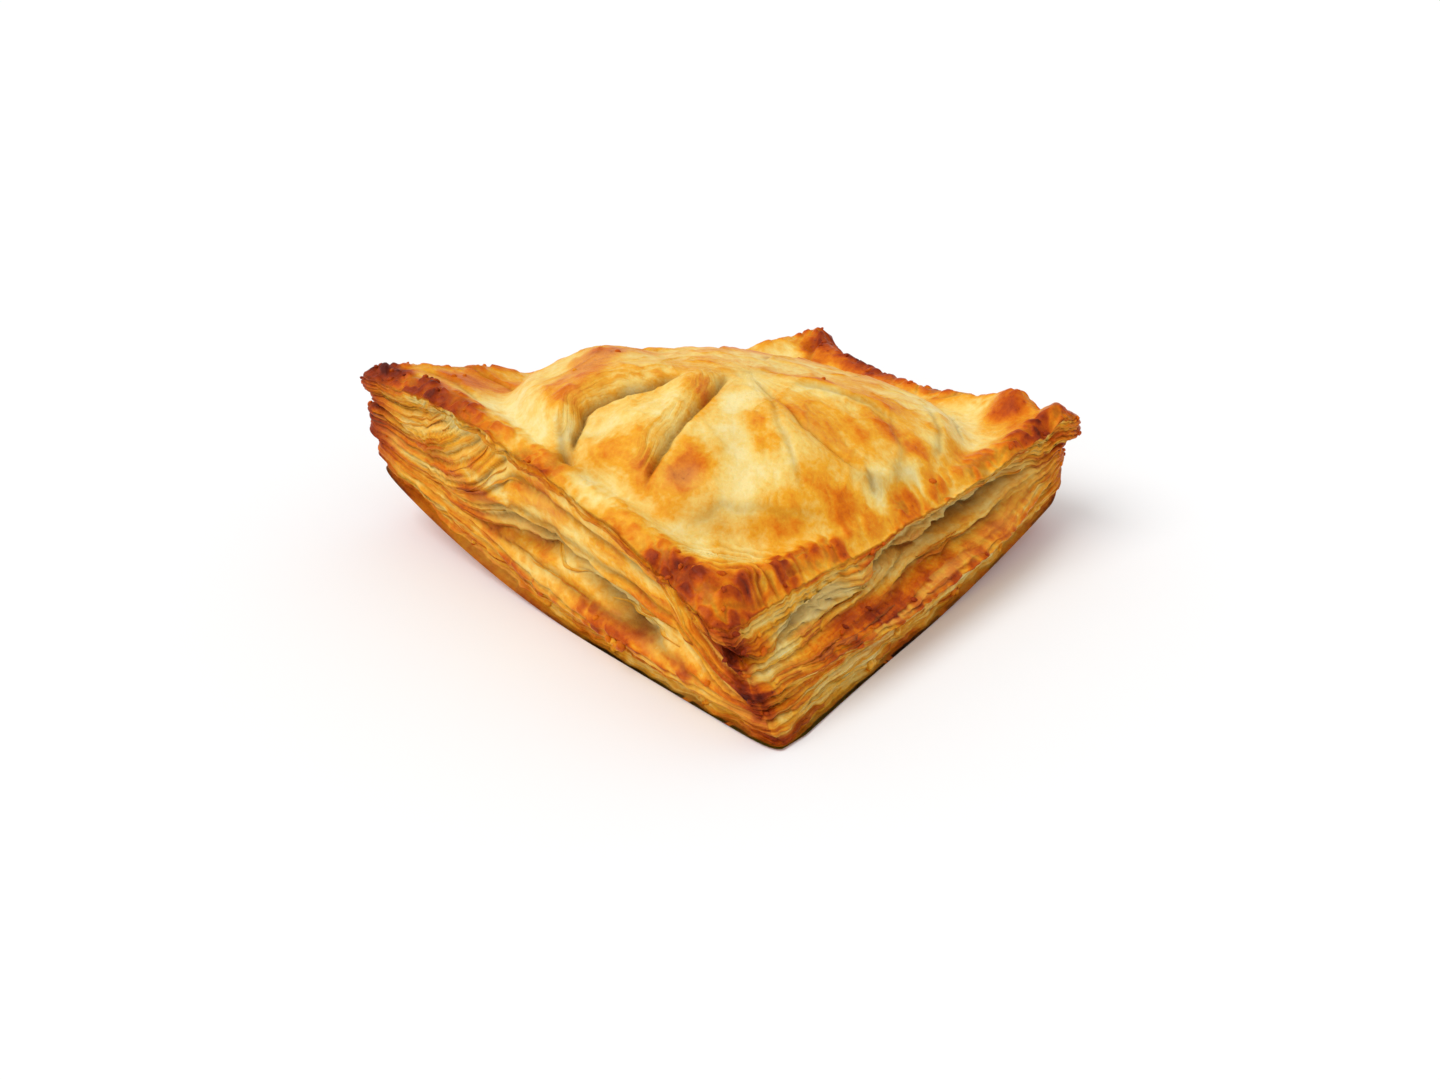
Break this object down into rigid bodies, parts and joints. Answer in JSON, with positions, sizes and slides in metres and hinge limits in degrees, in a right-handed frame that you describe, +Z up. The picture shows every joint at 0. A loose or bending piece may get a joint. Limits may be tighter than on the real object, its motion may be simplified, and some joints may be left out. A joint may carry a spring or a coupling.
{
  "type": "chicken and potato puff",
  "caption": "Four-cornered puff pastry turnover, domed over its filling, with knife cuts in its top, flaky open sides and a flat underside.",
  "frame": {"origin": "on the flat underside, below the middle of the puff", "axes": "+Z up out of the underside, through the domed top; the blunt bottom corner points towards +X and -Y"},
  "size_m": [0.118, 0.1162, 0.044],
  "materials": {
    "baked_pastry": "golden baked puff pastry with a light egg wash, browned along its edges"
  },
  "bodies": {
    "root": {"puff": "baked_pastry"}
  },
  "joints": []
}
